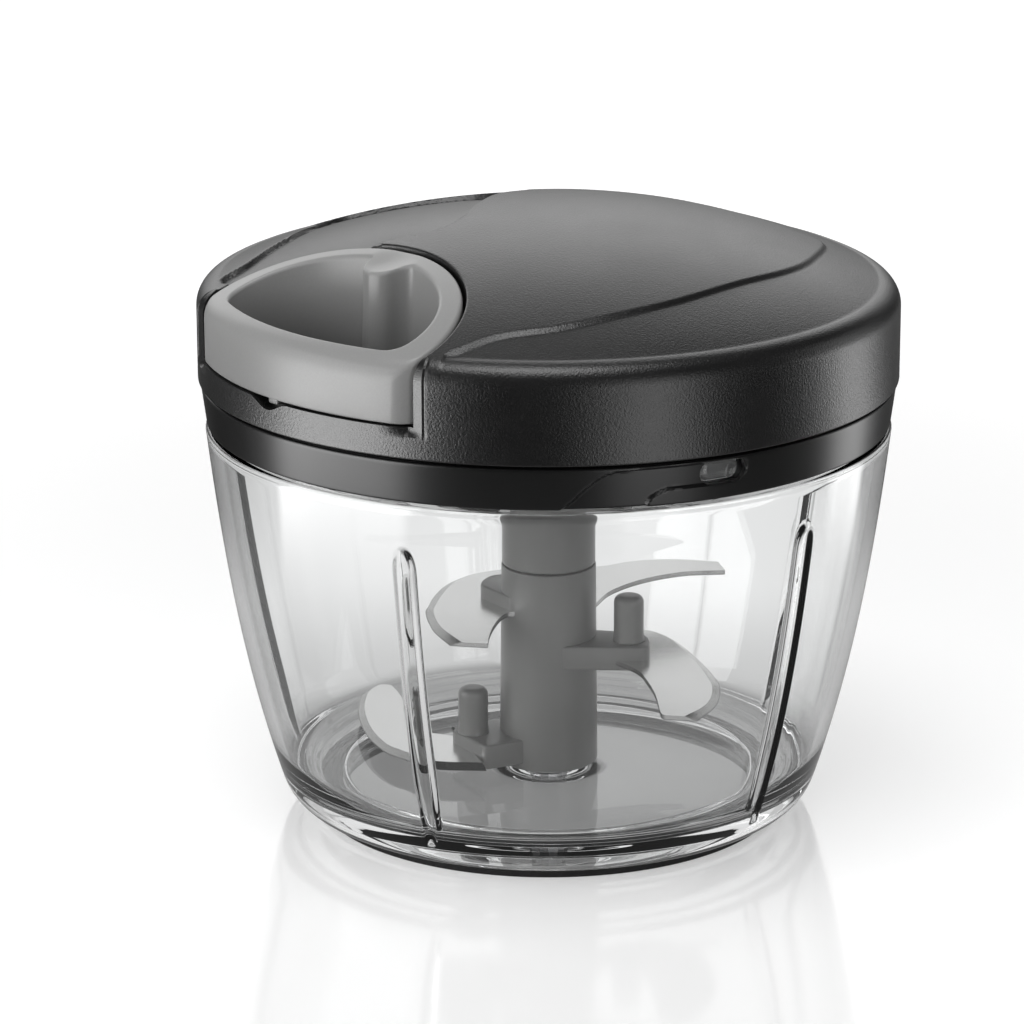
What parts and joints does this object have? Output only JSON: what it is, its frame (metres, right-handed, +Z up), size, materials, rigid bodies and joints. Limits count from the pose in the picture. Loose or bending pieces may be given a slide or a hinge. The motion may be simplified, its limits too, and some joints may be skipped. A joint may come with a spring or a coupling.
{
  "type": "pull-string food chopper",
  "caption": "Hand food chopper: clear ribbed bowl, domed bayonet lid with a pull handle on a cord, and a spindle with curved steel blades.",
  "frame": {"origin": "middle of the foot ring, on the surface that the chopper stands on", "axes": "+Z up along the spindle, +X to the right and +Y to the back as the picture shows it; the handle pulls out along 220 degrees"},
  "size_m": [0.1428, 0.1428, 0.1253],
  "materials": {
    "clear_plastic": "clear and glossy",
    "foot_rubber": "matte",
    "steel": "satin",
    "blade_steel": "fine ground, polished edge",
    "grey_plastic": "satin",
    "white_plastic": "satin",
    "gasket_silicone": "matte",
    "ring_plastic": "smooth satin",
    "cover_plastic": "fine-grained matte",
    "handle_plastic": "satin",
    "cord_fibre": "braided"
  },
  "bodies": {
    "bowl": {"bowl": "clear_plastic", "foot_ring": "foot_rubber", "pivot_pin": "steel"},
    "gasket": {"rim_gasket": "gasket_silicone"},
    "lid": {"lid_base": "ring_plastic", "lid_cover": "cover_plastic", "hub_bush": "white_plastic", "hub_seal": "gasket_silicone", "thrust_washer": "steel", "spool_axle": "steel", "axle_bridge": "steel", "axle_nut": "steel", "bridge_screw_1": "steel", "bridge_screw_2": "steel", "bridge_screw_3": "steel", "cover_screw_1": "steel", "cover_screw_2": "steel", "cover_screw_3": "steel", "cord_eyelet": "steel", "cord_run": "cord_fibre"},
    "spool": {"cord_spool": "white_plastic", "clutch_ring": "white_plastic", "rewind_spring": "steel", "spring_cover": "ring_plastic", "cord_winding": "cord_fibre"},
    "drive": {"drive_tube": "grey_plastic", "ratchet_wheel": "white_plastic"},
    "blades": {"blade_spindle": "grey_plastic", "spindle_bush": "white_plastic", "upper_blade": "blade_steel", "middle_blade": "blade_steel", "lower_blade": "blade_steel", "middle_blade_peg": "grey_plastic", "lower_blade_peg": "grey_plastic"},
    "handle": {"pull_handle": "handle_plastic", "handle_plug": "handle_plastic", "cord_knot": "cord_fibre", "pull_cord": "cord_fibre"}
  },
  "joints": [
    {"name": "lid_turn", "type": "hinge", "parent": "bowl", "child": "gasket", "pos_m": [0, 0, 0.0915], "axis": [0, 0, 1], "range_deg": [0, 19]},
    {"name": "lid_lift", "type": "slide", "parent": "gasket", "child": "lid", "axis": [0, 0, 1], "range_m": [0, 0.15]},
    {"name": "blade_spin", "type": "hinge", "parent": "bowl", "child": "blades", "pos_m": [0, 0, 0.0084], "axis": [0, 0, 1], "continuous": true},
    {"name": "hub_spin", "type": "hinge", "parent": "lid", "child": "drive", "pos_m": [0, 0, 0.0952], "axis": [0, 0, 1], "continuous": true},
    {"name": "handle_pull", "type": "slide", "parent": "lid", "child": "handle", "axis": [-0.766, -0.6428, 0], "range_m": [0, 0.3], "stiffness_N_per_m": 15, "springref_m": -0.3},
    {"name": "spool_spin", "type": "hinge", "parent": "lid", "child": "spool", "pos_m": [0, 0, 0.105], "axis": [0, 0, 1], "range_deg": [0, 725]}
  ],
  "couplings": [
    {"joint": "hub_spin", "follows": "blade_spin", "ratio": 1},
    {"joint": "spool_spin", "follows": "handle_pull", "rad_per_m": 42.017}
  ]
}
